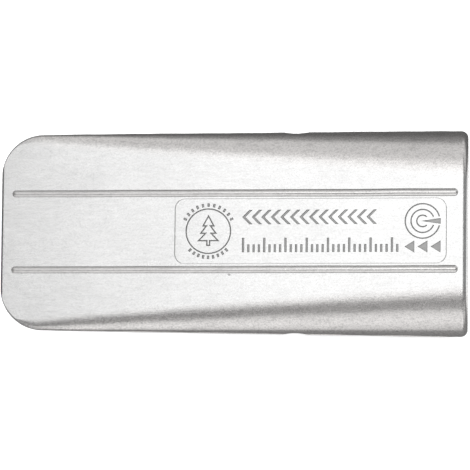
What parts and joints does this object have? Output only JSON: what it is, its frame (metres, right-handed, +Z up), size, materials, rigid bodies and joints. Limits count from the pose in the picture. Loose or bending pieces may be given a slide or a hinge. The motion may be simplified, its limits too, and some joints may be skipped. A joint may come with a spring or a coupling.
{
  "type": "felling wedge",
  "caption": "Solid forged aluminium felling wedge: thin rounded tip, full-width taper, sloped shoulders, two long ribs on each broad face and a flat striking head.",
  "frame": {"origin": "middle of the footprint, on the surface the wedge lies on: the plane of its lower rib crests", "axes": "+X from the thin tip to the striking head, +Y across the blade, +Z up; the lower broad face is level and the upper one slopes"},
  "size_m": [0.2203, 0.0976, 0.0289],
  "materials": {
    "forged_aluminium": "bright forged and ground, satin"
  },
  "bodies": {
    "root": {"wedge_forging": "forged_aluminium"}
  },
  "joints": []
}
